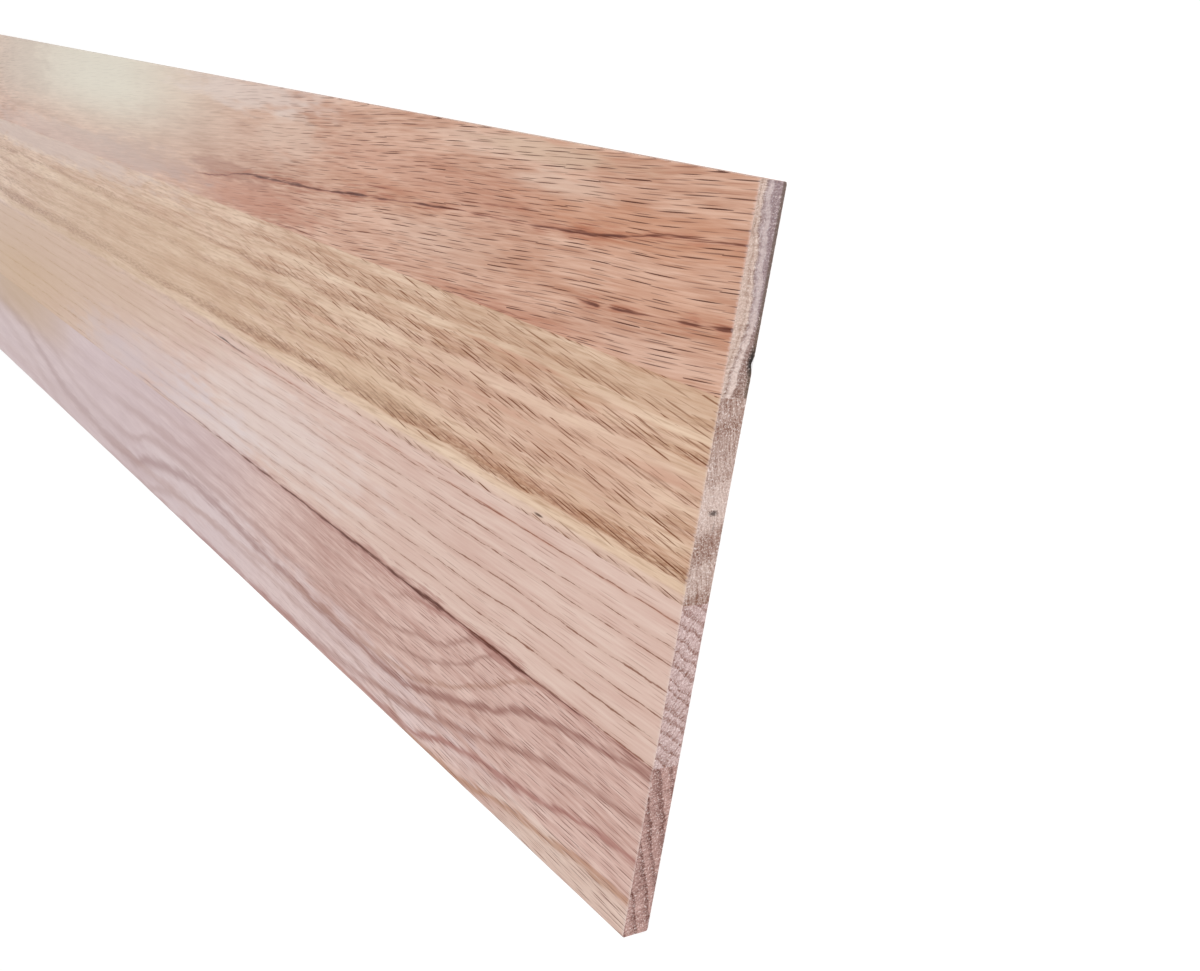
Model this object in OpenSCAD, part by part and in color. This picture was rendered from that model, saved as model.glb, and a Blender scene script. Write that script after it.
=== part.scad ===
// Stair riser board, edge-glued from four full-length staves of red oak.
// It lies flat as stored: the show face is up (+Z), the length runs along X, and
// the edge that goes under the tread nosing is on +Y. Sizes are in millimetres.

/* [Board] */
// Length of the board, as sold
board_l = 1219.2; // [300:0.1:2440]
// Thickness of the board after sanding
board_t = 7.94; // [4:0.01:26]
// Radius of the eased corners along the two long edges
edge_ease = 0.5; // [0.1:0.05:1.5]

/* [Staves, from the top edge down] */
// Width of the stave at the top edge, which fits under the tread
top_stave_w = 49.25; // [20:0.05:120]
// Width of the second stave
upper_stave_w = 50.8; // [20:0.05:120]
// Width of the third stave
lower_stave_w = 43; // [20:0.05:120]
// Width of the stave at the bottom edge, which stands on the tread below
bottom_stave_w = 47.45; // [20:0.05:120]

/* [Chip in the back arris of one end] */
// Length of the chip along the arris
chip_l = 3.8; // [1:0.1:8]
// How far the chip reaches up the sawn end
chip_h = 0.6; // [0.3:0.05:2]
// How far the chip runs in under the back face
chip_in = 1.2; // [0.3:0.05:4]
// Distance from the first glue line to the middle of the chip
chip_above_joint = 7.9; // [4:0.1:12]

/* [Hidden] */
$fn = 48;

board_w = top_stave_w + upper_stave_w + lower_stave_w + bottom_stave_w;

// The glue joints, measured from the middle of the board's width
joint_1 = board_w / 2 - top_stave_w;
joint_2 = joint_1 - upper_stave_w;
joint_3 = joint_2 - lower_stave_w;

over = 1; // how far a cutting shape runs past the wood

// What is cut away to round one corner, with the corner at the origin and the wood at -Y, -Z
module corner_waste(r) {
    difference() {
        translate([-r, -r]) square([r + over, r + over]);
        translate([-r, -r]) circle(r);
        translate([-r - over, -r - over]) square([over + r, over]);
        translate([-r - over, -r - over]) square([over, over + r]);
    }
}

// Cross-section of a stave from y_low to y_high, square where it meets a neighbour
module stave_section(y_low, y_high, ease_low, ease_high) {
    difference() {
        translate([y_low, 0]) square([y_high - y_low, board_t]);
        if (ease_high) {
            translate([y_high, board_t]) corner_waste(edge_ease);
            translate([y_high, 0]) mirror([0, 1]) corner_waste(edge_ease);
        }
        if (ease_low) {
            translate([y_low, board_t]) mirror([1, 0]) corner_waste(edge_ease);
            translate([y_low, 0]) mirror([1, 0]) mirror([0, 1]) corner_waste(edge_ease);
        }
    }
}

// A section in Y and Z is run along X, square at both ends as the saw leaves it
module along_board(length) {
    translate([-length / 2, 0, 0]) rotate([90, 0, 90]) linear_extrude(height = length) children();
}

module stave(y_low, y_high, ease_low = false, ease_high = false) {
    along_board(board_l) stave_section(y_low, y_high, ease_low, ease_high);
}

// Splinter lifted out of the back arris by the saw: a triangle on the sawn end
// and another along the board, and what both hold is gone
module chip() {
    translate([board_l / 2, joint_1 + chip_above_joint, 0]) intersection() {
        translate([-chip_in, 0, 0]) rotate([90, 0, 90]) linear_extrude(height = chip_in + over)
            polygon([[-chip_l / 2, -over], [-chip_l / 2, 0], [chip_l / 8, chip_h],
                     [chip_l / 2, 0], [chip_l / 2, -over]]);
        translate([0, chip_l, 0]) rotate([90, 0, 0]) linear_extrude(height = 2 * chip_l)
            polygon([[-chip_in, -over], [-chip_in, 0], [0, chip_h], [over, chip_h], [over, -over]]);
    }
}

module top_edge_stave() {
    color("#c9977b") difference() {
        stave(joint_1, board_w / 2, ease_high = true);
        chip();
    }
}

module upper_stave() {
    color("#cfb08f") stave(joint_2, joint_1);
}

module lower_stave() {
    color("#d8bfae") stave(joint_3, joint_2);
}

module bottom_edge_stave() {
    color("#c4a193") stave(-board_w / 2, joint_3, ease_low = true);
}

top_edge_stave();
upper_stave();
lower_stave();
bottom_edge_stave();
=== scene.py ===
import math

import bmesh
import bpy
from mathutils import Matrix, Vector, noise


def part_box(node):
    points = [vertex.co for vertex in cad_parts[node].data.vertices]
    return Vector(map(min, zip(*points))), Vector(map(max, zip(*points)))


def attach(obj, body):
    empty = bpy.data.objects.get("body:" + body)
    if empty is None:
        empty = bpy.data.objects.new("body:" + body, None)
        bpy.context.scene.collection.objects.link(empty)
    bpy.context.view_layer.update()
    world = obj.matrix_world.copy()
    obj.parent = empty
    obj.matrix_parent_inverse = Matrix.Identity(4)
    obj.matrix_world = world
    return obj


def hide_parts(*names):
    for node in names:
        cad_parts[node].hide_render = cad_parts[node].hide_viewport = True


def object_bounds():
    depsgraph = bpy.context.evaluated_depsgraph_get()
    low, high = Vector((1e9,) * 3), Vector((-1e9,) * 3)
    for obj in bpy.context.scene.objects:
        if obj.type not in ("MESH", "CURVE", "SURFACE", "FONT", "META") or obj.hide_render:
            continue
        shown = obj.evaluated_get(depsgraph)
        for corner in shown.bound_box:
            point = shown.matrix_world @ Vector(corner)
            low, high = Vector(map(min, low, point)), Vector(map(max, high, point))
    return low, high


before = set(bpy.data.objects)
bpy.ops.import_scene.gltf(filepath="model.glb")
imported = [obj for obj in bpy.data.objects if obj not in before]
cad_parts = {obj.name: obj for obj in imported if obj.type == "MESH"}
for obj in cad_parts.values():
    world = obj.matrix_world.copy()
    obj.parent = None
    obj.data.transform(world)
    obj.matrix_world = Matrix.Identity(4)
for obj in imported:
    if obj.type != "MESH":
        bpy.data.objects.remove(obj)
cad_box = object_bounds()

# Sizes of the board in millimetres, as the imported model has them
CORNER = Vector(cad_box[1])
HALF_LENGTH = CORNER.x * 1000
THICKNESS = CORNER.z * 1000


def linear(hex_colour):
    """An sRGB hex colour as the linear RGBA that a shader takes."""
    parts = [int(hex_colour[i:i + 2], 16) / 255 for i in (1, 3, 5)]
    return tuple(c / 12.92 if c <= 0.04045 else ((c + 0.055) / 1.055) ** 2.4 for c in parts) + (1.0,)


def add(tree, kind, inputs=None, **settings):
    """Adds a node, sets it, and links or fills its inputs. A node as a value is its first output."""
    node = tree.nodes.new(kind)
    for key, value in settings.items():
        setattr(node, key, value)
    for key, value in (inputs or {}).items():
        if isinstance(value, bpy.types.Node):
            value = value.outputs[0]
        socket = node.inputs[key]
        if isinstance(value, bpy.types.NodeSocket):
            tree.links.new(value, socket)
        else:
            socket.default_value = value
    return node


def new_group(name, inputs, outputs):
    """An empty shader group with its sockets. Returns the tree and its two end nodes."""
    tree = bpy.data.node_groups.new(name, "ShaderNodeTree")
    for label, kind in inputs:
        tree.interface.new_socket(label, in_out="INPUT", socket_type="NodeSocket" + kind)
    for label, kind in outputs:
        tree.interface.new_socket(label, in_out="OUTPUT", socket_type="NodeSocket" + kind)
    return tree, tree.nodes.new("NodeGroupInput"), tree.nodes.new("NodeGroupOutput")


# Groups that every stave's wood is made from. All lengths in them are millimetres.

def dashes_group():
    """Short slits that lie along the fibres: pores that the plane cut open, and the ends of rays."""
    tree, given, result = new_group(
        "Dashes along the grain",
        (("Grain", "Vector"), ("Spacing", "Vector"), ("Size", "Vector"), ("Share", "Float")),
        (("Mask", "Float"),))
    cells = add(tree, "ShaderNodeVectorMath", {0: given.outputs["Grain"], 1: given.outputs["Spacing"]},
                operation="DIVIDE")
    near = add(tree, "ShaderNodeTexVoronoi", {"Vector": cells, "Scale": 1.0, "Randomness": 0.85},
               voronoi_dimensions="2D", feature="F1")
    offset = add(tree, "ShaderNodeVectorMath", {0: cells, 1: near.outputs["Position"]},
                 operation="SUBTRACT")
    metric = add(tree, "ShaderNodeVectorMath", {0: offset, 1: given.outputs["Spacing"]},
                 operation="MULTIPLY")
    shape = add(tree, "ShaderNodeVectorMath", {0: metric, 1: given.outputs["Size"]}, operation="DIVIDE")
    away = add(tree, "ShaderNodeVectorMath", {0: shape}, operation="LENGTH")
    luck = add(tree, "ShaderNodeSeparateColor", {"Color": near.outputs["Color"]})
    reach = add(tree, "ShaderNodeMapRange", {"Value": luck.outputs["Green"], "To Min": 0.32, "To Max": 0.62})
    ratio = add(tree, "ShaderNodeMath", {0: away.outputs["Value"], 1: reach}, operation="DIVIDE")
    core = add(tree, "ShaderNodeMapRange",
               {"Value": ratio, "From Min": 0.4, "From Max": 1.0, "To Min": 1.0, "To Max": 0.0},
               interpolation_type="SMOOTHSTEP")
    there = add(tree, "ShaderNodeMath", {0: luck.outputs["Red"], 1: given.outputs["Share"]},
                operation="LESS_THAN")
    depth = add(tree, "ShaderNodeMapRange", {"Value": luck.outputs["Blue"], "To Min": 0.35, "To Max": 1.0})
    kept = add(tree, "ShaderNodeMath", {0: core, 1: there}, operation="MULTIPLY")
    mask = add(tree, "ShaderNodeMath", {0: kept, 1: depth}, operation="MULTIPLY")
    tree.links.new(mask.outputs[0], result.inputs["Mask"])
    return tree


def rings_group():
    """Growth rings of uneven width: how far through its ring a point is."""
    tree, given, result = new_group("Growth rings", (("Radius", "Float"), ("Ring width", "Float")),
                                    (("Phase", "Float"),))
    count = add(tree, "ShaderNodeMath", {0: given.outputs["Radius"], 1: given.outputs["Ring width"]},
                operation="DIVIDE")
    slow = add(tree, "ShaderNodeTexNoise", {"W": count, "Scale": 0.55, "Detail": 1.0},
               noise_dimensions="1D")
    uneven = add(tree, "ShaderNodeMath", {0: slow, 1: 1.3, 2: count}, operation="MULTIPLY_ADD")
    phase = add(tree, "ShaderNodeMath", {0: uneven}, operation="FRACT")
    tree.links.new(phase.outputs[0], result.inputs["Phase"])
    return tree


def patch_group():
    """A soft patch of the face with ragged edges, where the wood changes tone."""
    tree, given, result = new_group(
        "Patch of the face",
        (("Flat", "Vector"), ("Rag", "Float"), ("Centre", "Vector"), ("Reach", "Vector")),
        (("Mask", "Float"),))
    offset = add(tree, "ShaderNodeVectorMath", {0: given.outputs["Flat"], 1: given.outputs["Centre"]},
                 operation="SUBTRACT")
    shape = add(tree, "ShaderNodeVectorMath", {0: offset, 1: given.outputs["Reach"]}, operation="DIVIDE")
    away = add(tree, "ShaderNodeVectorMath", {0: shape}, operation="LENGTH")
    ragged = add(tree, "ShaderNodeMath", {0: given.outputs["Rag"], 1: 1.1, 2: away.outputs["Value"]},
                 operation="MULTIPLY_ADD")
    mask = add(tree, "ShaderNodeMapRange",
               {"Value": ragged, "From Min": 0.35, "From Max": 1.05, "To Min": 1.0, "To Max": 0.0},
               interpolation_type="SMOOTHSTEP")
    tree.links.new(mask.outputs[0], result.inputs["Mask"])
    return tree


DASHES = dashes_group()
RINGS = rings_group()
PATCH = patch_group()


class Surface:
    """A material laid on in steps, in millimetres on the board: its colour, and its relief's height."""

    def __init__(self, name):
        self.material = bpy.data.materials.new(name)
        self.material.use_nodes = True
        self.tree = tree = self.material.node_tree
        tree.nodes.clear()
        where = add(tree, "ShaderNodeTexCoord")
        mm = add(tree, "ShaderNodeVectorMath", {0: where.outputs["Object"], "Scale": 1000.0},
                 operation="SCALE")
        # X now counts from the sawn end that the photo shows, Z from the show face
        self.place = add(tree, "ShaderNodeVectorMath", {0: mm, 1: (HALF_LENGTH, 0.0, THICKNESS)},
                         operation="SUBTRACT")
        parts = add(tree, "ShaderNodeSeparateXYZ", {0: self.place})
        self.run, self.width, self.depth = parts.outputs

    def profile(self, value, points):
        """The height of a smooth curve through the points, read at a value."""
        first, last = points[0][0], points[-1][0]
        low, high = min(height for _, height in points), max(height for _, height in points)
        run = add(self.tree, "ShaderNodeMapRange", {"Value": value, "From Min": first, "From Max": last})
        curve = add(self.tree, "ShaderNodeFloatCurve", {"Value": run})
        spots = curve.mapping.curves[0].points
        for _ in points[2:]:
            spots.new(0.5, 0.5)
        for spot, (at, height) in zip(spots, points):
            spot.location = ((at - first) / (last - first), (height - low) / (high - low))
        curve.mapping.update()
        return add(self.tree, "ShaderNodeMapRange", {"Value": curve, "To Min": low, "To Max": high})

    def paint(self, mask, share, hex_colour):
        """Lays a colour on, as strong as its share where the mask is 1."""
        amount = add(self.tree, "ShaderNodeMath", {0: mask, 1: share}, operation="MULTIPLY", use_clamp=True)
        mix = add(self.tree, "ShaderNodeMix", {"Factor": amount, "A": self.colour,
                                               "B": linear(hex_colour)}, data_type="RGBA")
        self.colour = mix.outputs["Result"]

    def finish(self, roughness):
        """Bare oak: a dielectric with a low, broad sheen and a relief of about a tenth of a millimetre."""
        bump = add(self.tree, "ShaderNodeBump", {"Height": self.height, "Distance": 0.0001, "Strength": 0.8})
        shader = add(self.tree, "ShaderNodeBsdfPrincipled",
                     {"Base Color": self.colour, "Roughness": roughness, "IOR": 1.45,
                      "Normal": bump})
        add(self.tree, "ShaderNodeOutputMaterial", {"Surface": shader})
        return self.material


class Face(Surface):
    """The planed and sanded faces and edges of one stave."""

    def __init__(self, name, fibre_slope, lean, light, dark):
        super().__init__(name)
        tree = self.tree
        # The face's pattern goes on into the thickness at a lean
        self.across = add(tree, "ShaderNodeMath", {0: self.depth, 1: lean, 2: self.width},
                          operation="MULTIPLY_ADD")
        self.flat = add(tree, "ShaderNodeCombineXYZ", {"X": self.run, "Y": self.across})
        self.rag = self.waves((0.045, 0.3), 2.0)
        self.frayed = self.waves((0.24, 1.5), 2.0)
        self.level = self.wander((0.011, 0.035), 1.0, 2.6)
        self.grain = self.along_fibres(fibre_slope)
        self.strands = self.waves((0.075, 1.15), 2.0, self.grain)
        # Fibre tone: long fine waves over broad soft clouds
        fine = self.waves((0.04, 1.1), 3.0, self.grain)
        cloud = self.waves((0.014, 0.13), 3.0)
        both = add(tree, "ShaderNodeMath", {0: fine, 1: 1.1, 2: cloud}, operation="MULTIPLY_ADD")
        tone = add(tree, "ShaderNodeMapRange", {"Value": both, "From Min": -0.28, "From Max": 0.28})
        base = add(tree, "ShaderNodeMix", {"Factor": tone, "A": linear(dark),
                                           "B": linear(light)}, data_type="RGBA")
        self.colour = base.outputs["Result"]
        self.height = add(tree, "ShaderNodeMath", {0: self.strands, 1: 0.35}, operation="MULTIPLY")
        self.open_pores = self.profile(self.run, ((-1219, 1.0), (-850, 1.0), (-600, 0.12), (-380, 0.12),
                                                  (-280, 0.45), (-200, 0.8), (-120, 0.95), (0, 1.0)))

    def waves(self, pitch, detail, vector=None):
        """Noise about zero, stretched by a pitch in waves per millimetre along and across the face."""
        stretched = add(self.tree, "ShaderNodeVectorMath", {0: vector or self.flat, 1: (*pitch, 0.0)},
                        operation="MULTIPLY")
        cloud = add(self.tree, "ShaderNodeTexNoise", {"Vector": stretched, "Scale": 1.0,
                                                      "Detail": detail, "Roughness": 0.6},
                    noise_dimensions="2D")
        return add(self.tree, "ShaderNodeMath", {0: cloud, 1: 0.5}, operation="SUBTRACT")

    def wander(self, pitch, detail, sideways):
        """The place across the face, for grain that wanders sideways by so many millimetres."""
        return add(self.tree, "ShaderNodeMath", {0: self.waves(pitch, detail), 1: sideways, 2: self.across},
                   operation="MULTIPLY_ADD")

    def along_fibres(self, slope):
        """The face turned by a slope in degrees, so that X runs along the fibres."""
        bent = add(self.tree, "ShaderNodeCombineXYZ", {"X": self.run, "Y": self.level})
        return add(self.tree, "ShaderNodeVectorRotate", {"Vector": bent, "Angle": -math.radians(slope)},
                   rotation_type="Z_AXIS")

    def sink(self, mask, depth):
        """Lowers the surface under a mask, by a depth in tenths of a millimetre."""
        self.height = add(self.tree, "ShaderNodeMath", {0: mask, 1: -depth, 2: self.height},
                          operation="MULTIPLY_ADD")

    def dashes(self, spacing, size, share, slope=None, shift=(0.0, 0.0)):
        """Slits along the fibres, or at a slope of their own. Midway along the board they are faint."""
        grain = self.grain if slope is None else self.along_fibres(slope)
        moved = add(self.tree, "ShaderNodeVectorMath", {0: grain, 1: (*shift, 0.0)}, operation="ADD")
        slits = add(self.tree, "ShaderNodeGroup", {"Grain": moved, "Spacing": (*spacing, 1.0),
                                                   "Size": (*size, 1.0), "Share": share},
                    node_tree=DASHES)
        return add(self.tree, "ShaderNodeMath", {0: slits, 1: self.open_pores}, operation="MULTIPLY")

    def tones(self, *patches):
        """Paints soft patches where the wood changes tone: their colours, centres, reaches and shares."""
        for hex_colour, centre, reach, share in patches:
            patch = add(self.tree, "ShaderNodeGroup", {"Flat": self.flat, "Rag": self.rag,
                                                       "Centre": (*centre, 0.0), "Reach": (*reach, 1.0)},
                        node_tree=PATCH)
            self.paint(patch, share, hex_colour)

    def region(self, along, over):
        """A soft region of the face: a curve along the board times one across it."""
        return add(self.tree, "ShaderNodeMath", {0: self.profile(self.run, along),
                                                 1: self.profile(self.across, over)},
                   operation="MULTIPLY")

    def off_line(self, line, wander):
        """How far a place is from a line across the face, where the line wanders a little."""
        middle = self.profile(self.run, line)
        ragged = add(self.tree, "ShaderNodeMath", {0: self.rag, 1: wander, 2: middle},
                     operation="MULTIPLY_ADD")
        off = add(self.tree, "ShaderNodeMath", {0: self.across, 1: ragged}, operation="SUBTRACT")
        return add(self.tree, "ShaderNodeMath", {0: off}, operation="ABSOLUTE")

    def within(self, off, half_width, soft):
        """1 well inside a half width, fading to 0 at its edge over a soft margin."""
        inside = add(self.tree, "ShaderNodeMath", {0: half_width, 1: off}, operation="SUBTRACT")
        return add(self.tree, "ShaderNodeMapRange", {"Value": inside, "From Max": soft},
                   interpolation_type="SMOOTHSTEP")

    def streak(self, line, half_widths, core_colour, stain_colour, stain_share):
        """A mineral streak along a line: stained strands, a brown thread, and black where it swells."""
        off = self.off_line(line, 1.2)
        half = self.profile(self.run, half_widths)
        split = add(self.tree, "ShaderNodeMath", {0: self.strands, 1: 9.0, 2: 3.4}, operation="MULTIPLY_ADD")
        wide = add(self.tree, "ShaderNodeMath", {0: split, 1: half}, operation="MULTIPLY")
        self.paint(self.within(off, wide, 2.6), stain_share, stain_colour)
        taper = add(self.tree, "ShaderNodeMath", {0: self.strands, 1: 1.8, 2: 0.8}, operation="MULTIPLY_ADD")
        thread = add(self.tree, "ShaderNodeMath", {0: taper, 1: half}, operation="MULTIPLY")
        self.paint(self.within(off, thread, 0.5), 0.85, core_colour)
        swell = add(self.tree, "ShaderNodeMath", {0: thread, 1: 0.4}, operation="SUBTRACT")
        self.paint(self.within(off, swell, 0.4), 0.85, "#501a04")

    def finish(self):
        # The saw bruised the last half millimetre of the face, which shows as a pale frayed edge
        bruise = add(self.tree, "ShaderNodeMath", {0: self.frayed, 1: 1.8, 2: self.run},
                     operation="MULTIPLY_ADD")
        self.paint(self.profile(bruise, ((-1.1, 0.0), (-0.6, 0.4), (-0.25, 1.0), (0.4, 1.0))),
                   0.3, "#e0d0cc")
        # Planed fibres shine a little, and the open pores between them don't
        shine = add(self.tree, "ShaderNodeMapRange", {"Value": self.height, "From Min": -0.9,
                                                      "From Max": -0.1, "To Min": 0.95, "To Max": 0.46})
        return super().finish(shine)


class SawnEnd(Surface):
    """A stave's sawn ends, where the rings are cut across: rays over the rings, and torn fibres."""

    def __init__(self, name, ring_tilt):
        super().__init__(name)
        tree = self.tree
        broad = add(tree, "ShaderNodeTexNoise", {"Vector": self.place, "Scale": 0.22, "Detail": 2.0})
        bend = add(tree, "ShaderNodeVectorMath", {0: broad.outputs["Color"], 1: (0.5, 0.5, 0.5)},
                   operation="SUBTRACT")
        bent = add(tree, "ShaderNodeVectorMath", {0: bend, 1: (0.0, 3.0, 3.0), 2: self.place},
                   operation="MULTIPLY_ADD")
        rolled = add(tree, "ShaderNodeVectorRotate", {"Vector": bent, "Angle": math.radians(ring_tilt)},
                     rotation_type="X_AXIS")
        self.radius = add(tree, "ShaderNodeSeparateXYZ", {0: rolled}).outputs["Z"]
        # Real rays and pores are about 0.2 mm wide. They are drawn at 0.6 mm, so that they show.
        threads = add(tree, "ShaderNodeVectorMath", {0: rolled, 1: (0.1, 1.9, 0.16)}, operation="MULTIPLY")
        self.rays = add(tree, "ShaderNodeTexNoise", {"Vector": threads, "Scale": 1.0, "Detail": 1.0})
        self.torn = add(tree, "ShaderNodeTexNoise", {"Vector": self.place, "Scale": 1.9, "Detail": 2.0,
                                                     "Roughness": 0.8})
        self.height = add(tree, "ShaderNodeMath", {0: self.torn, 1: 3.0}, operation="MULTIPLY")

    def cut_rings(self, tone, light, dark):
        """Colours the rings by a tone from 0, dark and porous, to 1, pale and dense."""
        mixed = add(self.tree, "ShaderNodeMath", {0: self.rays, 1: 1.8, 2: tone}, operation="MULTIPLY_ADD")
        rough = add(self.tree, "ShaderNodeMath", {0: self.torn, 1: 2.4, 2: mixed}, operation="MULTIPLY_ADD")
        lit = add(self.tree, "ShaderNodeMapRange", {"Value": rough, "From Min": 1.8, "From Max": 3.4})
        self.colour = add(self.tree, "ShaderNodeMix", {"Factor": lit, "A": linear(dark),
                                                       "B": linear(light)},
                          data_type="RGBA").outputs["Result"]
        # Torn fibre ends show as pale flecks: partly their own paler colour, partly a painted highlight
        self.paint(self.profile(self.torn, ((0.2, 0.0), (0.58, 0.0), (0.66, 1.0), (0.9, 1.0))), 0.5,
                   "#eee4e2")

    def even_rings(self, ring_width):
        """Ring tone where the rings are all alike: dark porous early wood, then pale late wood."""
        rings = add(self.tree, "ShaderNodeGroup", {"Radius": self.radius, "Ring width": ring_width},
                    node_tree=RINGS)
        return self.profile(rings, ((0.0, 0.2), (0.12, 0.1), (0.35, 0.4), (0.6, 0.7), (0.9, 0.75),
                                    (1.0, 0.2)))

    def spot(self, width, depth, reach):
        """A ragged spot, at a place across the board and below the show face."""
        offset = add(self.tree, "ShaderNodeVectorMath", {0: self.place, 1: (0.0, width, -depth)},
                     operation="SUBTRACT")
        shape = add(self.tree, "ShaderNodeVectorMath", {0: offset, 1: (HALF_LENGTH, *reach)},
                    operation="DIVIDE")
        away = add(self.tree, "ShaderNodeVectorMath", {0: shape}, operation="LENGTH")
        ragged = add(self.tree, "ShaderNodeMath", {0: self.torn, 1: 1.4, 2: away.outputs["Value"]},
                     operation="MULTIPLY_ADD")
        return add(self.tree, "ShaderNodeMapRange", {"Value": ragged, "From Min": 1.1,
                                                     "From Max": 1.8, "To Min": 1.0,
                                                     "To Max": 0.0})


def top_edge_end():
    """Rings nearly level with the face. They sag in the middle and rise to the face near the glue."""
    end = SawnEnd("Red oak end grain of the reddish stave", 0.0)
    sag = end.profile(end.width, ((46, 3.0), (50, 2.0), (53, 1.2), (56, 0.6), (60, 0.0), (67, -0.5),
                                  (75, 0.0), (90, 1.0), (95.3, 1.2)))
    level = add(end.tree, "ShaderNodeMath", {0: end.radius, 1: sag}, operation="SUBTRACT")
    end.cut_rings(end.profile(level, ((-12, 0.4), (-8, 0.1), (-6.6, 0.0), (-5.8, 0.25), (-5.0, 1.2),
                                      (-4.2, 1.0), (-3.4, 0.4), (-2.4, 0.8), (-1.8, 0.1), (-1.2, 0.5),
                                      (-0.5, 0.6), (0.0, 0.6))), "#d9c4ba", "#74513f")
    near_face = end.profile(level, ((-3.0, 0.0), (-1.7, 0.9), (-1.0, 1.0), (3.0, 1.0)))
    end.paint(near_face, 0.45, "#d6bcae")
    stained = end.profile(level, ((-7.0, 1.0), (-4.0, 0.9), (-3.0, 0.2), (-2.6, 0.0), (0.0, 0.0)))
    outer = end.profile(end.width, ((46, 0.15), (58, 0.4), (70, 1.0), (95.3, 1.0)))
    lilac = add(end.tree, "ShaderNodeMath", {0: stained, 1: outer}, operation="MULTIPLY")
    end.paint(lilac, 0.45, "#968a98")
    end.paint(end.profile(end.depth, ((-8, 1.0), (-7.2, 0.9), (-6.6, 0.0), (0, 0.0))), 0.75, "#544232")
    # Painted shadow: the dark shade inside the chip in the back arris
    end.paint(end.spot(54.5, 7.2, (3.8, 1.3)), 1.0, "#1e120e")
    return end.finish(0.8)


def upper_end():
    """Wide rings that stand across the thickness, with a dark star crack in the palest of them."""
    end = SawnEnd("Red oak end grain of the tan stave", 70.0)
    end.cut_rings(end.profile(end.radius, (
        (-5, 0.15), (-3.5, 0.25), (-1.5, 0.65), (2.5, 0.65), (4.5, 0.3), (9.5, 0.2), (12, 0.7), (17, 1.0),
        (22, 0.9), (24, 0.45), (26, 0.7), (29, 0.5), (33, 0.4), (36, 0.2), (39, 0.5), (41, 0.3),
        (44, 0.45))), "#d3beb5", "#7a5444")
    end.paint(end.spot(18.2, 4.2, (0.8, 1.7)), 0.85, "#3c2c28")
    end.paint(end.spot(14.5, 5.0, (1.6, 0.35)), 0.5, "#6a554e")
    return end.finish(0.8)


def lower_end():
    """Close rings that lean, with pale rays that cross them."""
    end = SawnEnd("Red oak end grain of the pale stave", 125.0)
    end.cut_rings(end.even_rings(2.9), "#d7bfbd", "#80594e")
    return end.finish(0.8)


def bottom_edge_end():
    """Dense speckle on low rings."""
    end = SawnEnd("Red oak end grain of the pinkish stave", -17.0)
    end.cut_rings(end.even_rings(3.6), "#c8a39b", "#5e342a")
    return end.finish(0.8)


# The dark streak that runs beside the lowest glue line, on both staves that meet there
GLUE_STREAK_LINE = ((-1219, -45.0), (-480, -46.0), (-310, -46.8), (-240, -47.3), (-150, -47.8), (-60, -48.1),
                    (0, -48.3))
GLUE_STREAK_HALF = ((-1219, 0.15), (-480, 0.3), (-310, 0.45), (-290, 0.55), (-240, 0.7), (-185, 0.75),
                    (-165, 0.95), (-130, 0.95), (-119, 1.2), (-108, 1.25), (-104, 0.6), (-90, 0.85),
                    (-78, 1.05), (-68, 1.05), (-58, 0.7), (-40, 0.5), (0, 0.5))


def glue_streak(wood):
    wood.streak(GLUE_STREAK_LINE, GLUE_STREAK_HALF, "#64301f", "#9c6258", 0.5)


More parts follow.
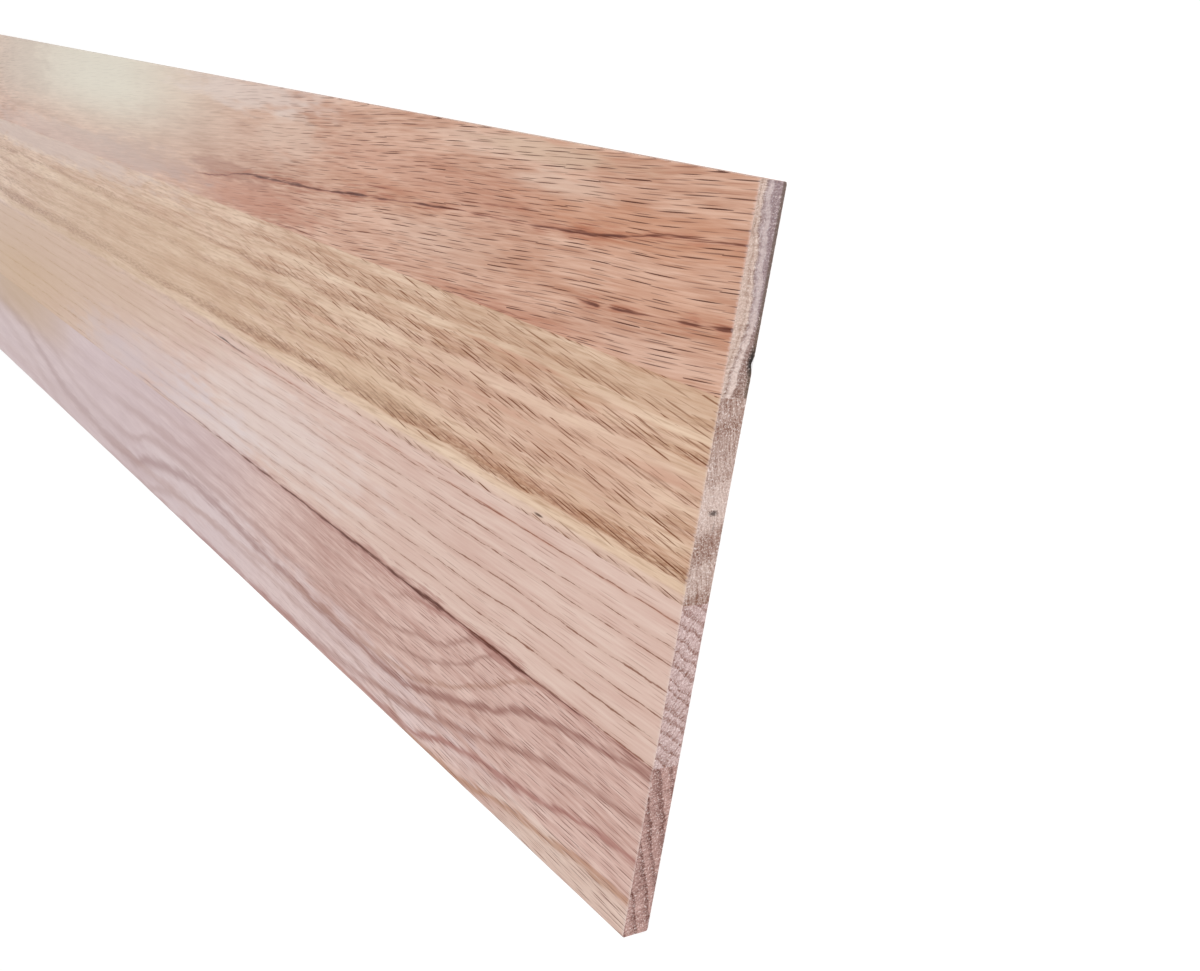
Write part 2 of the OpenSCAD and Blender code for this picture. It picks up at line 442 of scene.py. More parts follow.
def top_edge_wood():
    """Flat-sawn oak, planed: warm and reddish, with short open pores and dark mineral streaks."""
    wood = Face("Red oak, flat-sawn and reddish", 4.3, 1.0, "#d6ae98", "#b5836a")
    wood.tones(("#b47257", (-290, 53), (85, 9), 0.6), ("#b47257", (-150, 77), (95, 10), 0.3),
               ("#b47257", (-95, 47), (60, 3), 0.35), ("#b47257", (-380, 52), (60, 6), 0.2),
               ("#bfa39b", (-530, 50), (220, 9), 0.5), ("#b26c40", (-40, 78), (62, 9), 0.4),
               ("#b26c40", (-105, 60), (45, 7), 0.2), ("#b26c40", (-20, 62), (50, 7), 0.2),
               ("#b26c40", (-180, 70), (60, 7), 0.2))
    # Painted reflection: a pale cream glare over the far part of the face, strongest towards the top edge
    cream = wood.region(((-1219, 0.0), (-850, 0.1), (-640, 0.65), (-540, 0.95), (-480, 1.0), (-430, 0.9),
                         (-390, 0.7), (-340, 0.4), (-280, 0.12), (-220, 0.0), (0, 0.0)),
                        ((46, 0.1), (56, 0.28), (64, 0.52), (74, 0.88), (82, 1.0), (96, 0.95)))
    wood.paint(cream, 0.9, "#dad5c4")
    wood.tones(("#d8bdab", (-255, 80), (38, 12), 0.5), ("#d8bdab", (-100, 91), (60, 5), 0.45),
               ("#d8bdab", (-75, 84), (30, 4), 0.5), ("#d8bdab", (-130, 60), (50, 8), 0.3),
               ("#d8c8c0", (-300, 91), (95, 8), 0.6), ("#b08a78", (-325, 68), (135, 16), 0.22),
               ("#98644f", (-312, 60), (50, 5), 0.5), ("#dcb9a6", (-25, 50), (38, 5), 0.4),
               ("#b39a90", (-420, 54), (110, 10), 0.4), ("#b8a595", (-650, 80), (90, 26), 0.35),
               ("#b9a283", (-80, 92), (45, 4), 0.25))
    fine = wood.dashes((12.0, 0.9), (13.0, 0.28), 0.5, shift=(5.1, 0.4))
    wood.paint(fine, 0.5, "#8a5236")
    slits = wood.dashes((13.0, 1.35), (15.5, 0.36), 0.95)
    wood.paint(slits, 1.0, "#4a1c0a")
    wood.sink(slits, 0.8)
    core, stain = "#5c2410", "#a4593a"
    wood.streak(
        ((-340, 55), (-313, 57.8), (-297, 60.3), (-280, 61.5), (-240, 63), (-205, 64.8), (-190, 66),
         (-172, 67.2), (-147, 69), (-119, 70.7), (-104, 71.3), (-88, 72), (-60, 73.9), (-44, 75.6),
         (-31, 78), (-10, 79.6), (0, 80.5)),
        ((-350, 0.0), (-325, 0.5), (-300, 0.5), (-285, 0.75), (-240, 0.8), (-215, 0.6), (-205, 0.85),
         (-190, 1.0), (-184, 0.5), (-176, 0.7), (-160, 0.35), (-150, 0.6), (-138, 0.65), (-122, 0.4),
         (-100, 0.4), (-88, 0.55), (-75, 0.6), (-60, 0.85), (-46, 0.7), (-40, 0.45), (-31, 0.65),
         (-15, 0.55), (0, 0.6)), core, stain, 0.5)
    wood.streak(
        ((-183, 70), (-170, 70.9), (-116, 73.9), (-86, 76.2)),
        ((-190, 0.0), (-180, 0.5), (-165, 0.25), (-120, 0.25), (-105, 0.45), (-82, 0.0)),
        "#7a3f28", stain, 0.4)
    wood.streak(
        ((-64, 56.8), (-45, 57.5), (-18, 59.7), (0, 61.6)),
        ((-62, 0.0), (-57, 0.65), (-53, 0.75), (-49, 0.15), (-44, 0.75), (-34, 0.5), (-22, 0.3), (-15, 0.9),
         (-9, 0.45), (-4, 0.85), (0, 0.85)), core, stain, 0.45)
    wood.streak(
        ((-262, 46.1), (-222, 47.2), (-118, 46.6), (-80, 47)),
        ((-265, 0.0), (-245, 0.45), (-225, 0.3), (-215, 0.0), (-130, 0.0), (-112, 0.4), (-90, 0.3),
         (-70, 0.0)), "#6a321c", stain, 0.4)
    return wood.finish()


# Darkness of the rings across the upper stave, at each millimetre mark from its lower to its upper glue line
UPPER_BANDS = ((-4.8, 0.5), (-3.9, 0.9), (-3, 0.3), (-1.5, 0.0), (0.3, 0.05), (1.8, 0.85), (3.2, 1.0),
               (4.8, 0.8), (6.8, 0.35), (9, 0.2), (11, 0.3), (13, 0.7), (14.5, 0.3), (16.5, 0.4), (19, 0.15),
               (22, 0.7), (23.5, 0.3), (26.5, 0.05), (28.5, 0.25), (30, 0.75), (31.5, 0.35), (33.5, 0.45),
               (36, 0.05), (38, 0.3), (39.5, 0.6), (41, 0.3), (43, 0.25), (45, 0.15), (46, 0.35))


def upper_wood():
    """Rift-sawn oak, planed: wavy tan rows where each ring's pores lie aslant, with cream between."""
    wood = Face("Red oak, rift-sawn and tan", 0.3, 0.6, "#e1c3ab", "#bd9377")
    bands = wood.profile(wood.wander((0.016, 0.12), 3.0, 6.5), UPPER_BANDS)
    wood.paint(wood.profile(bands, ((0.0, 1.0), (0.15, 0.5), (0.4, 0.0), (1.0, 0.0))), 0.35, "#e2ccb0")
    wood.paint(bands, 0.42, "#a97e5c")
    crest = wood.profile(bands, ((0.0, 0.0), (0.5, 0.0), (0.7, 0.6), (1.0, 1.0)))
    broken = wood.profile(wood.frayed, ((-0.3, 0.0), (-0.05, 0.2), (0.1, 1.0), (0.3, 1.0)))
    line = add(wood.tree, "ShaderNodeMath", {0: crest, 1: broken}, operation="MULTIPLY")
    wood.paint(line, 0.6, "#8a5a3a")
    wrinkles = wood.profile(wood.strands, ((-0.4, 0.0), (0.02, 0.0), (0.14, 0.7), (0.3, 1.0)))
    wood.paint(wrinkles, 0.4, "#98704f")
    wood.tones(("#b0704f", (-60, 4), (110, 3.0), 0.2), ("#b97f62", (-50, 31), (9, 1.0), 0.45),
               ("#b97f62", (-95, 20), (28, 1.2), 0.45), ("#b97f62", (-20, 23), (24, 1.6), 0.45),
               ("#b97f62", (-85, 36), (36, 1.0), 0.45), ("#b97f62", (-215, 20), (40, 1.0), 0.45),
               ("#d2ac9b", (-70, 20), (110, 18), 0.4))
    wood.paint(wood.profile(wood.across, ((-4.8, 1.0), (-2.5, 0.8), (-1.0, 0.0), (46, 0.0))), 0.6, "#d8bcb0")
    share = wood.profile(bands, ((0.0, 0.08), (0.2, 0.3), (0.45, 0.85), (0.7, 1.0), (1.0, 1.0)))
    slits = wood.dashes((12.0, 1.25), (16.0, 0.56), share, -9.5)
    wood.paint(slits, 0.9, "#74390e")
    deep = add(wood.tree, "ShaderNodeMath", {0: slits, 1: crest}, operation="MULTIPLY")
    wood.paint(deep, 0.6, "#5a2a08")
    wood.sink(slits, 0.8)
    fine = wood.dashes((13.0, 1.0), (15.0, 0.36), share, -7.5, (4.0, 0.6))
    wood.paint(fine, 0.55, "#86522e")
    # Of these patches, the three centred 440 to 600 mm from the sawn end are painted reflection: a warm tan
    # cast and a pale pinkish-grey sheen
    wood.tones(("#4a2812", (-63.5, -3.2), (3.0, 0.5), 0.9), ("#c4a280", (-440, 14), (260, 26), 0.45),
               ("#b8926e", (-560, -2), (180, 6), 0.4), ("#c9b2a8", (-600, 42), (260, 9), 0.7),
               ("#dcc0a2", (-175, 8), (65, 8), 0.35), ("#b08a6c", (-60, 41), (120, 6), 0.3))
    return wood.finish()


# Where the lower stave's growth rings meet the face, in millimetres across the board, as ring numbers
LOWER_RINGS = ((-54.5, 7.0), (-47.8, 6.0), (-40.4, 5.0), (-34.0, 4.0), (-27.3, 3.0), (-20.3, 2.0),
               (-15.8, 1.0), (-9.3, 0.0), (-3.0, -1.0))


def lower_wood():
    """Nearly quarter-sawn oak, planed: calm and pale, with a fine broken line of pores at each ring."""
    wood = Face("Red oak, quarter-sawn and pale", -0.6, 0.6, "#dabfb2", "#cdab9e")
    # Painted highlight: two pale patches of whitish sheen, 250 to 310 mm from the sawn end
    wood.tones(("#e2d5d1", (-250, -28), (110, 22), 0.4), ("#d9cfd4", (-310, -42), (80, 13), 0.35))
    ring = wood.profile(wood.wander((0.02, 0.1), 3.0, 2.6), LOWER_RINGS)
    number = add(wood.tree, "ShaderNodeMath", {0: ring}, operation="ROUND")
    part = add(wood.tree, "ShaderNodeMath", {0: ring, 1: number}, operation="SUBTRACT")
    off = add(wood.tree, "ShaderNodeMath", {0: part}, operation="ABSOLUTE")
    spot = add(wood.tree, "ShaderNodeCombineXYZ", {"X": wood.run, "Y": number})
    breaks = wood.waves((0.045, 7.3), 2.0, spot)
    half = add(wood.tree, "ShaderNodeMapRange", {"Value": breaks, "From Min": -0.36, "From Max": 0.15,
                                                 "To Min": 0.0, "To Max": 0.05})
    frayed = add(wood.tree, "ShaderNodeMath", {0: wood.frayed, 1: 0.09, 2: off}, operation="MULTIPLY_ADD")
    wood.paint(wood.within(off, 0.28, 0.28), 0.3, "#bd9988")
    slots = wood.within(frayed, half, 0.035)
    shown = wood.profile(wood.run, ((-1219, 0.5), (-500, 0.4), (-320, 0.35), (-220, 0.4), (-120, 0.8),
                                    (-60, 1.0), (0, 1.0)))
    pores = add(wood.tree, "ShaderNodeMath", {0: slots, 1: shown}, operation="MULTIPLY")
    wood.paint(pores, 0.85, "#80503c")
    wood.sink(pores, 0.8)
    fine = wood.dashes((15.0, 1.1), (14.0, 0.34), 0.5, shift=(2.0, 0.3))
    wood.paint(fine, 0.6, "#8e604e")
    wood.streak(
        ((-1219, -6.0), (-460, -6.5), (-240, -7.9), (-120, -8.8), (0, -9.6)),
        ((-1219, 0.3), (-480, 0.3), (-240, 0.45), (-200, 0.3), (-150, 0.5), (-120, 0.35), (-75, 0.55),
         (-50, 0.3), (0, 0.5)), "#965a42", "#c99682", 0.3)
    wood.streak(
        ((-315, -6.2), (-270, -7.6)),
        ((-318, 0.0), (-300, 0.5), (-285, 0.5), (-270, 0.0)), "#3c2018", "#b08a7c", 0.3)
    glue_streak(wood)
    # Painted reflection: a warm tan cast over the far part of the stave's upper half
    tan = wood.region(((-1219, 0.0), (-880, 0.0), (-720, 0.5), (-650, 1.0), (-520, 0.85), (-440, 0.6),
                       (-370, 0.15), (-320, 0.0), (0, 0.0)),
                      ((-47.8, 0.05), (-40, 0.1), (-32, 0.6), (-26, 1.0), (-4.8, 1.0)))
    wood.paint(tan, 0.65, "#c09c7a")
    # Painted reflection too: a warm tan patch, and two lilac patches of a cool sheen below it
    wood.tones(("#c3a181", (-400, -12), (130, 11), 0.3), ("#c8b6ba", (-400, -36), (120, 14), 0.4),
               ("#c6b3b6", (-435, -42), (85, 9), 0.5))
    # Painted reflection: a golden cast over the far part of the stave's lower half
    painted_gold_cast = wood.region(((-1219, 0.0), (-860, 0.0), (-740, 0.2), (-640, 1.0), (-580, 0.85), (-520, 0.55),
                        (-460, 0.15), (-420, 0.0), (0, 0.0)),
                       ((-47.8, 1.0), (-36, 1.0), (-30, 0.7), (-22, 0.25), (-4.8, 0.0)))
    wood.paint(painted_gold_cast, 0.65, "#bc9460")
    return wood.finish()


# The bottom stave's rings meet the face as long bows. Each has a line from the far end to the sawn end,
# a half width, how strong it is near the sawn end and far from it, and a colour.
BOTTOM_BOWS = (
    (((-1219, -60), (-900, -74), (-760, -60), (-617, -67), (-583, -73), (-550, -79), (-525, -83), (-480, -86),
      (-438, -88), (-405, -88), (-387, -84), (-367, -79.7), (-347, -77), (-313, -74.7), (-263, -77),
      (-220, -78.5), (-140, -80.5), (-120, -79.2), (-107, -75.8), (-95, -72.9), (-87, -70.4), (-78, -67.1),
      (-70, -64.6), (-62, -60.8), (-53, -58.3), (-45, -56.3), (-37, -54.9), (-20, -52.6), (0, -50)), 1.5,
     0.8, 0.6, "#94655a"),
    (((-1219, -70), (-900, -84), (-760, -70), (-617, -79), (-550, -90), (-480, -97), (-280, -96),
      (-200, -93), (-123, -87), (-100, -82), (-73, -75.4), (-62, -72), (-46, -68), (-28, -65.5),
      (-12, -64.2), (0, -63.3)), 1.5, 0.7, 0.3, "#a07468"),
    (((-1219, -80), (-900, -92), (-617, -90), (-500, -100), (-240, -94), (-140, -94), (-120, -93.3),
      (-107, -90.8), (-95, -87), (-78, -83.8), (-57, -81.5), (-45, -79.6), (-28, -76.3), (-12, -74.2),
      (0, -73.8)), 1.3, 0.75, 0.3, "#a06a60"),
    (((-1219, -90), (-500, -104), (-100, -95), (-78, -93.3), (-70, -91.7), (-62, -90), (-45, -88.8),
      (-24, -86.3), (-12, -85.4), (0, -85.4)), 1.2, 0.65, 0.3, "#a9785a"),
    (((-1219, -50), (-700, -52), (-560, -66), (-480, -77), (-430, -79), (-397, -76.3), (-387, -72),
      (-372, -70.5), (-330, -69.7), (-263, -69.7), (-220, -71.3), (-160, -72), (-130, -70), (-103, -64.2),
      (-92, -59.6), (-85, -55.8), (-70, -48), (0, -40)), 1.1, 0.62, 0.35, "#a47c70"),
    (((-1219, -98), (-420, -99), (-367, -91.3), (-338, -86.3), (-313, -84), (-263, -84.7), (-180, -86),
      (-140, -88), (-100, -98), (0, -100)), 1.0, 0.5, 0.3, "#a98478"),
    (((-1219, -46), (-480, -66), (-380, -64), (-300, -63), (-220, -65), (-150, -65.5), (-120, -62.1),
      (-107, -58.8), (-99, -55.8), (-80, -48), (0, -40)), 1.2, 0.62, 0.25, "#a47a6e"),
    (((-1219, -44), (-500, -57), (-320, -55), (-200, -57), (-150, -56), (-120, -50), (0, -44)), 0.9,
     0.45, 0.2, "#ac8478"),
    (((-1219, -62), (-500, -88), (-200, -80), (-130, -77), (-105, -71.5), (-84, -63.3), (-68, -55.4),
      (-55, -49), (0, -40)), 1.1, 0.52, 0.15, "#a87c68"))


def bottom_edge_wood():
    """Flat-sawn oak, planed: pinkish, with wide soft bows where the rings meet the face at a low angle."""
    wood = Face("Red oak, flat-sawn and pinkish", -2.5, 1.2, "#dabbb0", "#bc9488")
    # Painted reflection: a lilac sheen over the far half of the stave
    wood.paint(wood.profile(wood.run, ((-1219, 0.0), (-950, 0.2), (-720, 1.0), (-450, 1.0), (-300, 0.65),
                                       (-120, 0.0), (0, 0.0))), 0.5, "#ccbabf")
    wood.tones(("#dccbcc", (-225, -86), (190, 16), 0.5), ("#e0ccbc", (-25, -91), (60, 8), 0.5),
               ("#dcc8c6", (-310, -77), (110, 9), 0.5))
    # Towards the far end the rings meet the face at a lower angle, so their marks are wider and softer
    spread = wood.profile(wood.run, ((-1219, 2.0), (-420, 2.0), (-280, 1.4), (-150, 1.05), (0, 1.0)))
    nearness = wood.profile(wood.run, ((-1219, 0.0), (-460, 0.0), (-385, 0.9), (-330, 0.75), (-260, 0.45),
                                       (-170, 0.5), (-115, 1.1), (0, 1.1)))
    bands = []
    for line, half, near, far, colour in BOTTOM_BOWS:
        off = wood.off_line(line, 3.2)
        reach = add(wood.tree, "ShaderNodeMath", {0: spread, 1: half * 1.5}, operation="MULTIPLY")
        frayed = add(wood.tree, "ShaderNodeMath", {0: wood.strands, 1: half * 2.2, 2: off},
                     operation="MULTIPLY_ADD")
        band = wood.within(frayed, reach, reach)
        strength = add(wood.tree, "ShaderNodeMath", {0: nearness, 1: near - far, 2: far},
                       operation="MULTIPLY_ADD")
        wood.paint(band, strength, colour)
        bands.append(band)
    porous = bands[0]
    for band in bands[1:]:
        porous = add(wood.tree, "ShaderNodeMath", {0: porous, 1: band}, operation="MAXIMUM")
    # More painted lilac sheen over the far half, laid over the bows too
    wood.paint(wood.profile(wood.run, ((-1219, 0.0), (-950, 0.2), (-720, 1.0), (-450, 1.0), (-300, 0.65),
                                       (-180, 0.0), (0, 0.0))), 0.3, "#c4b2ba")
    share = add(wood.tree, "ShaderNodeMapRange", {"Value": porous, "To Min": 0.9, "To Max": 1.0})
    fine = wood.dashes((10.0, 1.05), (11.0, 0.36), share)
    seen = wood.profile(wood.run, ((-1219, 0.5), (-300, 0.3), (-180, 0.4), (-110, 0.85), (0, 1.0)))
    lit = add(wood.tree, "ShaderNodeMath", {0: fine, 1: seen}, operation="MULTIPLY")
    wood.paint(lit, 0.75, "#642e20")
    wood.sink(lit, 0.8)
    hairs = wood.dashes((7.0, 0.7), (8.0, 0.26), 0.6, shift=(3.0, 0.5))
    wood.paint(hairs, 0.4, "#8a5444")
    # Painted reflection: a golden cast over the far part, along the stave's upper side
    painted_gold_cast = wood.region(((-1219, 0.0), (-860, 0.0), (-740, 0.2), (-640, 1.0), (-590, 0.85), (-530, 0.35),
                        (-480, 0.0), (0, 0.0)),
                       ((-95.3, 0.0), (-74, 0.0), (-67, 0.25), (-60, 0.8), (-47.8, 1.0)))
    wood.paint(painted_gold_cast, 0.75, "#b68f5c")
    glue_streak(wood)
    return wood.finish()


# Shapes: each stave is planed and glued, with eased outer arrises and ends that a saw has torn a little

ARRIS = 0.5
SAW_DEPTH = 0.16
CHIP_MIDDLE, CHIP_HALF, CHIP_IN, CHIP_HIGH = 53.9, 1.9, 1.2, 0.6
# Points on a sawn end are this far apart, close enough for the tooth marks
END_GRID = 0.42
# The faces' points draw close together near an end, and are evenly spread from the last mark inwards
FROM_THE_END = (0.15, 0.35, 0.7, 1.4, 3.0, 7.0, 20.0)
PLAIN_STEPS = 90


def marks(low, high, step, ease_low, ease_high):
    """Grid marks between two edges, closer together where an edge is rounded."""
    inner_low = low + (ARRIS if ease_low else 0.0)
    inner_high = high - (ARRIS if ease_high else 0.0)
    count = round((inner_high - inner_low) / step)
    grid = [inner_low + (inner_high - inner_low) * i / count for i in range(count + 1)]
    if ease_low:
        grid = [low, low + ARRIS / 3, low + ARRIS * 2 / 3] + grid
    if ease_high:
        grid = grid + [high - ARRIS * 2 / 3, high - ARRIS / 3, high]
    return grid


def eased(y, z, box, wear):
    """Pulls a point that is in a square outer corner onto a rounded one, all the way at a wear of 1."""
    (low_y, ease_low), (high_y, ease_high) = box
    side = 1 if ease_high and y > high_y - ARRIS else -1 if ease_low and y < low_y + ARRIS else 0
    top = 1 if z > THICKNESS - ARRIS else -1 if z < ARRIS else 0
    if not side or not top:
        return y, z
    centre_y = high_y - ARRIS if side > 0 else low_y + ARRIS
    centre_z = THICKNESS - ARRIS if top > 0 else ARRIS
    out_y, out_z = y - centre_y, z - centre_z
    reach = math.hypot(out_y, out_z)
    if reach == 0:
        return y, z
    pull = 1 + (max(abs(out_y), abs(out_z)) / reach - 1) * wear
    return centre_y + out_y * pull, centre_z + out_z * pull


def saw_relief(y, z, seed):
    """How far below the highest fibre a point of a sawn end lies: tooth marks, then torn fibre."""
    tooth = noise.noise(Vector((y / 0.45, z / 3.0, seed)))
    torn = noise.noise(Vector((y / 0.3, z / 0.3, seed + 7.0)))
    return SAW_DEPTH * min(1.0, max(0.0, 0.5 + 0.45 * tooth + 0.4 * torn))


def chip_depth(y, z):
    """How far the chip in the back arris goes in from the sawn end, at a point of that end."""
    open_share = 1 - abs(y - CHIP_MIDDLE) / CHIP_HALF
    if open_share <= 0 or z > CHIP_HIGH * open_share:
        return 0.0
    return CHIP_IN * open_share * (1 - z / (CHIP_HIGH * open_share))


def stave_piece(node, ease_low, ease_high, seed):
    """A whole stave between its glue joints. Its sawn ends take the second material."""
    low, high = (tuple(c * 1000 for c in corner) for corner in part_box(node))
    box = (low[1], ease_low), (high[1], ease_high)
    across = marks(low[1], high[1], END_GRID, ease_low, ease_high)
    through = marks(0.0, THICKNESS, END_GRID, True, True)
    rim = ([(j, 0) for j in range(len(across))]
           + [(len(across) - 1, k) for k in range(1, len(through))]
           + [(j, len(through) - 1) for j in range(len(across) - 2, -1, -1)]
           + [(0, k) for k in range(len(through) - 2, 0, -1)])
    mesh = bmesh.new()

    def end_x(sign, y, z):
        sunk = saw_relief(y, z, seed + sign)
        if sign > 0 and node == "top_edge_stave":
            sunk = max(sunk, chip_depth(y, z))
        return sign * (HALF_LENGTH - sunk)

    def point(x, j, k, wear=1.0):
        y, z = eased(across[j], through[k], box, wear)
        return mesh.verts.new((x / 1000, y / 1000, z / 1000))

    caps = {}
    for sign in (1, -1):
        caps[sign] = {(j, k): point(end_x(sign, across[j], through[k]), j, k)
                      for j in range(len(across)) for k in range(len(through))}
        for j in range(len(across) - 1):
            for k in range(len(through) - 1):
                square = (j, k), (j + 1, k), (j + 1, k + 1), (j, k + 1)
                mesh.faces.new([caps[sign][spot] for spot in square]).material_index = 1
    # Rings of points from one end to the other. Near a chip they draw back with the end.
    *near_end, last = FROM_THE_END
    inner = HALF_LENGTH - last
    stations = [(1, step) for step in near_end]
    stations += [(0, inner - 2 * inner * i / PLAIN_STEPS) for i in range(PLAIN_STEPS + 1)]
    stations += [(-1, step) for step in reversed(near_end)]
    rings = [[caps[1][spot] for spot in rim]]
    for sign, value in stations:
        ring = []
        for j, k in rim:
            if sign:
                x = sign * min(HALF_LENGTH - value, abs(end_x(sign, across[j], through[k])) - value * 0.3)
            else:
                x = value
            wear = 0.85 + 0.5 * noise.noise(Vector((x / 18.0, across[j], through[k] / 4.0)))
            ring.append(point(x, j, k, wear))
        rings.append(ring)
    rings.append([caps[-1][spot] for spot in rim])
    for before, after in zip(rings, rings[1:]):
        for i in range(len(rim)):
            following = (i + 1) % len(rim)
            mesh.faces.new((before[i], before[following], after[following], after[i]))
    bmesh.ops.recalc_face_normals(mesh, faces=mesh.faces)
    data = bpy.data.meshes.new(node + "_wood")
    mesh.to_mesh(data)
    mesh.free()
    piece = bpy.data.objects.new(node + "_wood", data)
    bpy.context.scene.collection.objects.link(piece)
    return piece


def fibres_tree(material):
    """Geometry nodes: torn fibres scattered over the sawn ends, lying down with a little lift."""
    tree = bpy.data.node_groups.new("Torn fibres", "GeometryNodeTree")
    sockets = {}
    for label, kind, value in (("Geometry", "Geometry", None), ("Fibres per square metre", "Float", 1.5e6),
                               ("Fibre length", "Float", 0.0008), ("Fibre thickness", "Float", 0.00009),
                               ("Seed", "Int", 11)):
        socket = tree.interface.new_socket(label, in_out="INPUT", socket_type="NodeSocket" + kind)
        if value is not None:
            socket.default_value = value
        sockets[label] = socket.identifier
    tree.interface.new_socket("Geometry", in_out="OUTPUT", socket_type="NodeSocketGeometry")
    given, result = tree.nodes.new("NodeGroupInput"), tree.nodes.new("NodeGroupOutput")
    facing = add(tree, "GeometryNodeInputNormal")
    parts = add(tree, "ShaderNodeSeparateXYZ", {0: facing})
    sideways = add(tree, "ShaderNodeMath", {0: parts.outputs["X"]}, operation="ABSOLUTE")
    on_end = add(tree, "ShaderNodeMath", {0: sideways, 1: 0.5}, operation="GREATER_THAN")
    spots = add(tree, "GeometryNodeDistributePointsOnFaces",
                {"Mesh": given.outputs["Geometry"], "Selection": on_end,
                 "Density": given.outputs["Fibres per square metre"], "Seed": given.outputs["Seed"]},
                distribute_method="RANDOM")
    # A fibre is a thin three-sided cone that points along its own Z
    tip = add(tree, "ShaderNodeMath", {0: given.outputs["Fibre thickness"], 1: 0.2}, operation="MULTIPLY")
    root = add(tree, "ShaderNodeMath", {0: given.outputs["Fibre thickness"], 1: 0.5}, operation="MULTIPLY")
    cone = add(tree, "GeometryNodeMeshCone", {"Vertices": 3, "Side Segments": 1, "Radius Top": tip,
                                              "Radius Bottom": root,
                                              "Depth": given.outputs["Fibre length"]})
    lie = add(tree, "FunctionNodeRandomValue", {0: (-1.0, -1.0, -1.0), 1: (1.0, 1.0, 1.0), "Seed": 3},
              data_type="FLOAT_VECTOR")
    lean = add(tree, "ShaderNodeVectorMath", {0: lie, 1: (0.16, 1.0, 1.0)}, operation="MULTIPLY")
    turn = add(tree, "FunctionNodeAlignRotationToVector", {"Vector": lean}, axis="Z")
    size = add(tree, "FunctionNodeRandomValue", {2: 0.35, 3: 1.0, "Seed": 5}, data_type="FLOAT")
    put = add(tree, "GeometryNodeInstanceOnPoints",
              {"Points": spots.outputs["Points"], "Instance": cone.outputs["Mesh"],
               "Rotation": turn, "Scale": size.outputs[1]})
    solid = add(tree, "GeometryNodeRealizeInstances", {"Geometry": put})
    coloured = add(tree, "GeometryNodeSetMaterial", {"Geometry": solid, "Material": material})
    tree.links.new(coloured.outputs[0], result.inputs["Geometry"])
    return tree, sockets


def fibre_wood():
    """Torn oak fibre is paler than the cut wood under it, because its broken ends scatter light."""
    material = bpy.data.materials.new("Red oak fibre, torn by the saw")
    material.use_nodes = True
    tree = material.node_tree
    tree.nodes.clear()
    where = add(tree, "ShaderNodeTexCoord")
    tint = add(tree, "ShaderNodeTexNoise", {"Vector": where.outputs["Object"], "Scale": 900.0, "Detail": 1.0})
    mixed = add(tree, "ShaderNodeMapRange", {"Value": tint, "From Min": 0.4, "From Max": 0.6})
    shade = add(tree, "ShaderNodeMix", {"Factor": mixed, "A": linear("#a98a80"),
                                        "B": linear("#ead9d3")}, data_type="RGBA")
    shader = add(tree, "ShaderNodeBsdfPrincipled", {"Base Color": shade.outputs["Result"], "Roughness": 0.7})
    add(tree, "ShaderNodeOutputMaterial", {"Surface": shader})
    return material


def torn_fibres(name, piece, tree, sockets, seed):
    """Runs the fibre nodes on a stave and keeps the result as a plain mesh inside the board's box."""
    host = bpy.data.objects.new(name, piece.data)
    bpy.context.scene.collection.objects.link(host)
    scatter = host.modifiers.new("Torn fibres", "NODES")
    scatter.node_group = tree
    scatter[sockets["Seed"]] = seed
    shape = host.evaluated_get(bpy.context.evaluated_depsgraph_get())
    data = bpy.data.meshes.new_from_object(shape)
    host.modifiers.remove(scatter)
    host.data = data
    for vertex in data.vertices:
        vertex.co.x = max(-CORNER.x, min(CORNER.x, vertex.co.x))
        vertex.co.y = max(-CORNER.y, min(CORNER.y, vertex.co.y))
        vertex.co.z = max(0.0, min(CORNER.z, vertex.co.z))
    return host


FIBRE_TREE, FIBRE_SOCKETS = fibres_tree(fibre_wood())
for node, wood, end, slot, eases, seed in (
        ("top_edge_stave", top_edge_wood, top_edge_end, "red_oak_reddish", (False, True), 11),
        ("upper_stave", upper_wood, upper_end, "red_oak_tan", (False, False), 23),
        ("lower_stave", lower_wood, lower_end, "red_oak_pale", (False, False), 37),
        ("bottom_edge_stave", bottom_edge_wood, bottom_edge_end, "red_oak_pinkish", (True, False), 53)):
    piece = stave_piece(node, *eases, seed)
    piece.data.materials.append(wood())
    piece.data.materials.append(end())
    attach(piece, "root")
    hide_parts(node)
    fibres = torn_fibres(node + "_fibres", piece, FIBRE_TREE, FIBRE_SOCKETS, seed)
    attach(fibres, "root")

# Stage: a pale floor that reads as white to the camera and still takes the board's shadow

FLOOR_HALF = 40.0
# Just under the board, so that the two don't share a plane
FLOOR_DROP = 0.0002
# Lifts the grey of the floor to white in the camera's eyes
FLOOR_GLOW = 0.62
floor_mesh = bpy.data.meshes.new("floor")
floor_mesh.from_pydata([(-FLOOR_HALF, -FLOOR_HALF, 0), (FLOOR_HALF, -FLOOR_HALF, 0),
                        (FLOOR_HALF, FLOOR_HALF, 0), (-FLOOR_HALF, FLOOR_HALF, 0)], [], [(0, 1, 2, 3)])
floor = bpy.data.objects.new("floor", floor_mesh)
bpy.context.scene.collection.objects.link(floor)
floor.location.z = -FLOOR_DROP
paper = bpy.data.materials.new("White paper sweep")
paper.use_nodes = True
tree = paper.node_tree
tree.nodes.clear()
ray = add(tree, "ShaderNodeLightPath")
seen = add(tree, "ShaderNodeMath", {0: ray.outputs["Is Camera Ray"], 1: ray.outputs["Is Glossy Ray"]},
           operation="MAXIMUM")
seen = add(tree, "ShaderNodeMath", {0: seen, 1: ray.outputs["Is Transmission Ray"]}, operation="MAXIMUM")
lift = add(tree, "ShaderNodeMath", {0: seen, 1: FLOOR_GLOW}, operation="MULTIPLY")
matte = add(tree, "ShaderNodeBsdfDiffuse", {"Color": (0.5, 0.5, 0.5, 1.0)})
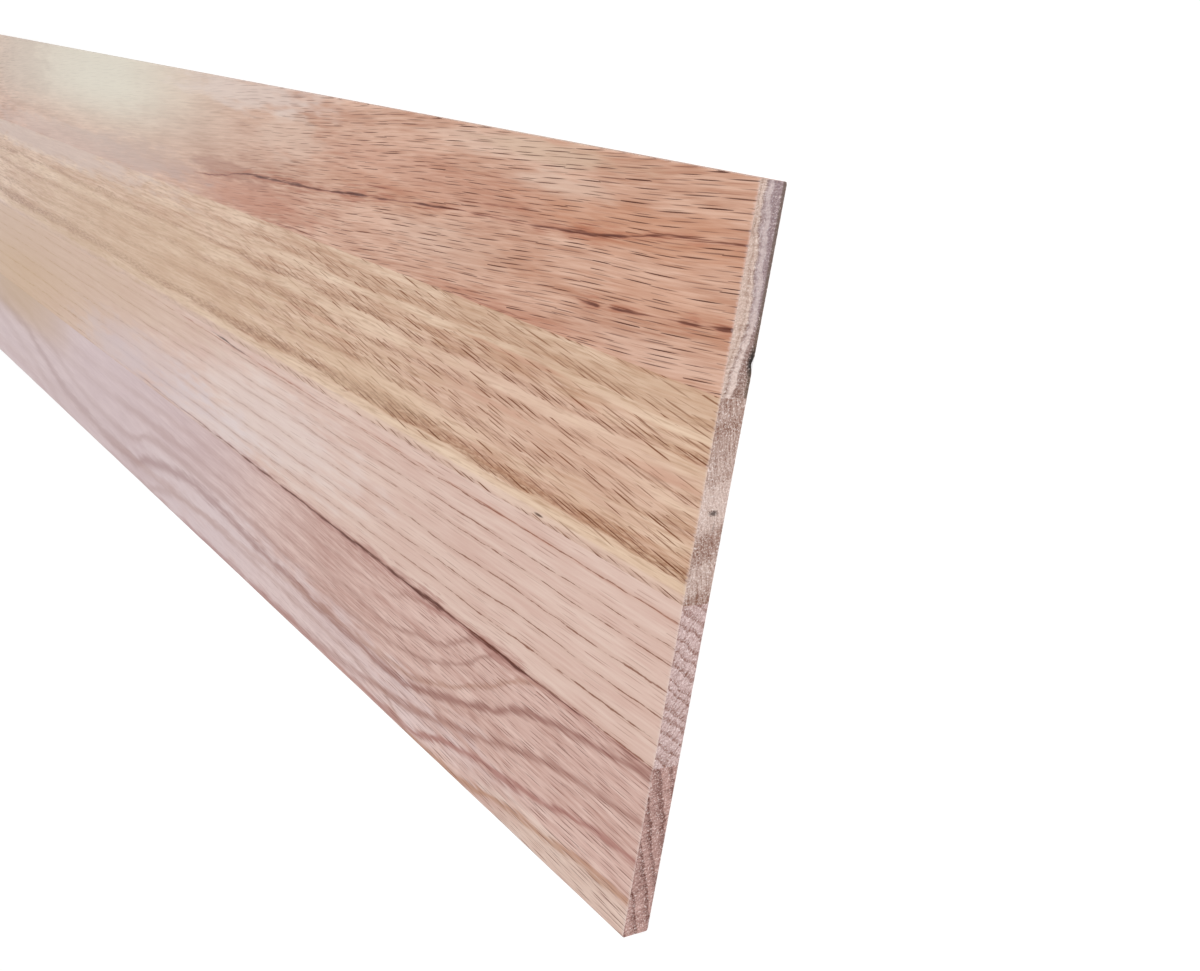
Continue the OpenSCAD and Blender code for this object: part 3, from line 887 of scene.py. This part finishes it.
glow = add(tree, "ShaderNodeEmission", {"Color": (1.0, 1.0, 1.0, 1.0), "Strength": lift})
both = add(tree, "ShaderNodeAddShader", {0: matte, 1: glow})
add(tree, "ShaderNodeOutputMaterial", {"Surface": both})
floor_mesh.materials.append(paper)

world = bpy.data.worlds.new("Studio")
bpy.context.scene.world = world
world.use_nodes = True
tree = world.node_tree
tree.nodes.clear()
# As a white room does, it lights the board from all around
sky = add(tree, "ShaderNodeBackground", {"Color": (1.0, 1.0, 1.0, 1.0), "Strength": 0.55})
add(tree, "ShaderNodeOutputWorld", {"Surface": sky})


def softbox(name, place, aim, width, height, power):
    """A soft lamp in metres and watts, turned to an aim."""
    data = bpy.data.lights.new(name, "AREA")
    data.shape = "RECTANGLE"
    data.size, data.size_y = width, height
    data.energy = power
    lamp = bpy.data.objects.new(name, data)
    bpy.context.scene.collection.objects.link(lamp)
    lamp.location = place
    lamp.rotation_euler = (Vector(aim) - Vector(place)).to_track_quat("-Z", "Y").to_euler()
    return lamp


softbox("key softbox", (1.4, 0.9, 1.6), (0.3, 0.0, 0.0), 1.6, 1.6, 24)
softbox("end fill", (2.2, 0.3, 0.5), (0.6, 0.0, 0.0), 1.2, 1.0, 14)
softbox("far window", (-2.0, 0.3, 0.55), (0.0, 0.0, 0.0), 2.6, 0.8, 8)

# Camera, as the photo was taken: close to the sawn end, the board's width upright in the picture

eye = Vector((0.8319, 0.1020, 0.2118))
aim = Vector((0.5706, 0.0130, 0.0079))
picture_up = Vector((-0.2996, 0.9535, -0.0325))
back = (eye - aim).normalized()
right = picture_up.cross(back).normalized()
up = back.cross(right)
camera_data = bpy.data.cameras.new("camera")
# The fitted focal length, 1345 px, on a picture 1200 px wide
camera_data.sensor_width = 36.0
camera_data.lens = 40.35
camera = bpy.data.objects.new("camera", camera_data)
camera.matrix_world = Matrix((right, up, back)).transposed().to_4x4()
camera.location = eye
bpy.context.scene.collection.objects.link(camera)
bpy.context.scene.camera = camera
camera_data.clip_start = 0.01

bpy.context.scene.view_settings.view_transform = "Standard"
